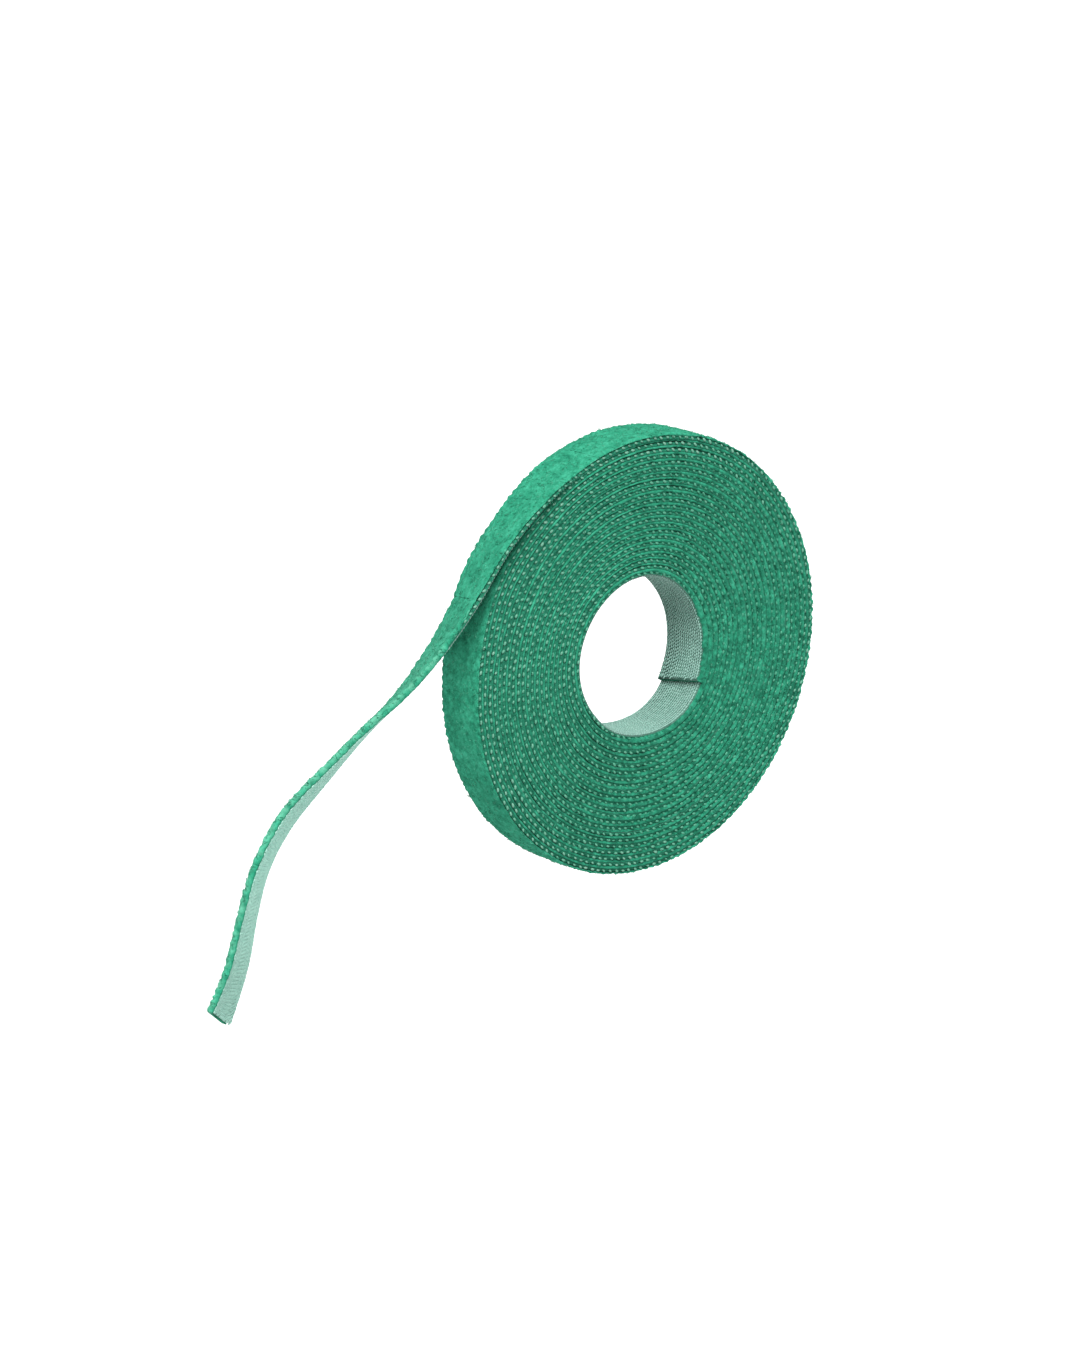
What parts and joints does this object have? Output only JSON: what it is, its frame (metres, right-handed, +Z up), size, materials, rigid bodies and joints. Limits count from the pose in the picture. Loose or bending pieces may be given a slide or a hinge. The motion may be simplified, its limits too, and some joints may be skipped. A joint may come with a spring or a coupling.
{
  "type": "hook-and-loop plant tie tape roll",
  "caption": "Coreless roll of back-to-back hook-and-loop tie tape with a free tail, for tying plants and bundles; turns on or hangs from a peg through its bore.",
  "frame": {"origin": "centre of the bore, halfway across the tape width", "axes": "+Y along the roll axis from the front face to the back face, +Z up as the roll hangs, tail towards -X"},
  "size_m": [0.168, 0.0149, 0.1101],
  "materials": {
    "loop_pile": "brushed loop pile, matt",
    "bond_film": "satin",
    "hook_sheet": "translucent, fine moulded hooks"
  },
  "bodies": {
    "roll": {"hook_sheet_roll": "hook_sheet", "bond_film_roll": "bond_film", "loop_pile_roll": "loop_pile"},
    "tail_1": {"hook_sheet_tail_1": "hook_sheet", "bond_film_tail_1": "bond_film", "loop_pile_tail_1": "loop_pile"},
    "tail_2": {"hook_sheet_tail_2": "hook_sheet", "bond_film_tail_2": "bond_film", "loop_pile_tail_2": "loop_pile"},
    "tail_3": {"hook_sheet_tail_3": "hook_sheet", "bond_film_tail_3": "bond_film", "loop_pile_tail_3": "loop_pile"},
    "tail_4": {"hook_sheet_tail_4": "hook_sheet", "bond_film_tail_4": "bond_film", "loop_pile_tail_4": "loop_pile"},
    "tail_5": {"hook_sheet_tail_5": "hook_sheet", "bond_film_tail_5": "bond_film", "loop_pile_tail_5": "loop_pile"},
    "tail_6": {"hook_sheet_tail_6": "hook_sheet", "bond_film_tail_6": "bond_film", "loop_pile_tail_6": "loop_pile"}
  },
  "joints": [
    {"name": "peel", "type": "hinge", "parent": "roll", "child": "tail_1", "pos_m": [-0.0195, 0, 0.045], "axis": [-0.0587, 0.9979, -0.0261], "range_deg": [0, 60], "stiffness_Nm_per_rad": 0.003, "springref_deg": 7.15},
    {"name": "bend_1", "type": "hinge", "parent": "tail_1", "child": "tail_2", "pos_m": [-0.0395, -0.0025, 0.0315], "axis": [0.1185, 0.9727, -0.1996], "range_deg": [-4, 30], "stiffness_Nm_per_rad": 0.003, "springref_deg": 4.56},
    {"name": "bend_2", "type": "hinge", "parent": "tail_2", "child": "tail_3", "pos_m": [-0.0555, -0.0025, 0.012], "axis": [0.3338, 0.8908, -0.3083], "range_deg": [-15, 30], "stiffness_Nm_per_rad": 0.003, "springref_deg": 2.77},
    {"name": "bend_3", "type": "hinge", "parent": "tail_3", "child": "tail_4", "pos_m": [-0.075, -0.0015, -0.003], "axis": [0.4137, 0.7646, -0.4943], "range_deg": [-20, 30], "stiffness_Nm_per_rad": 0.003, "springref_deg": 1.19},
    {"name": "bend_4", "type": "hinge", "parent": "tail_4", "child": "tail_5", "pos_m": [-0.0935, 0, -0.0175], "axis": [0.5843, 0.6151, -0.5294], "range_deg": [-20, 30], "stiffness_Nm_per_rad": 0.003, "springref_deg": 0.29},
    {"name": "bend_5", "type": "hinge", "parent": "tail_5", "child": "tail_6", "pos_m": [-0.104, 0.0005, -0.037], "axis": [0.7768, 0.5876, -0.2265], "range_deg": [-25, 30], "stiffness_Nm_per_rad": 0.003, "springref_deg": 0.05}
  ]
}
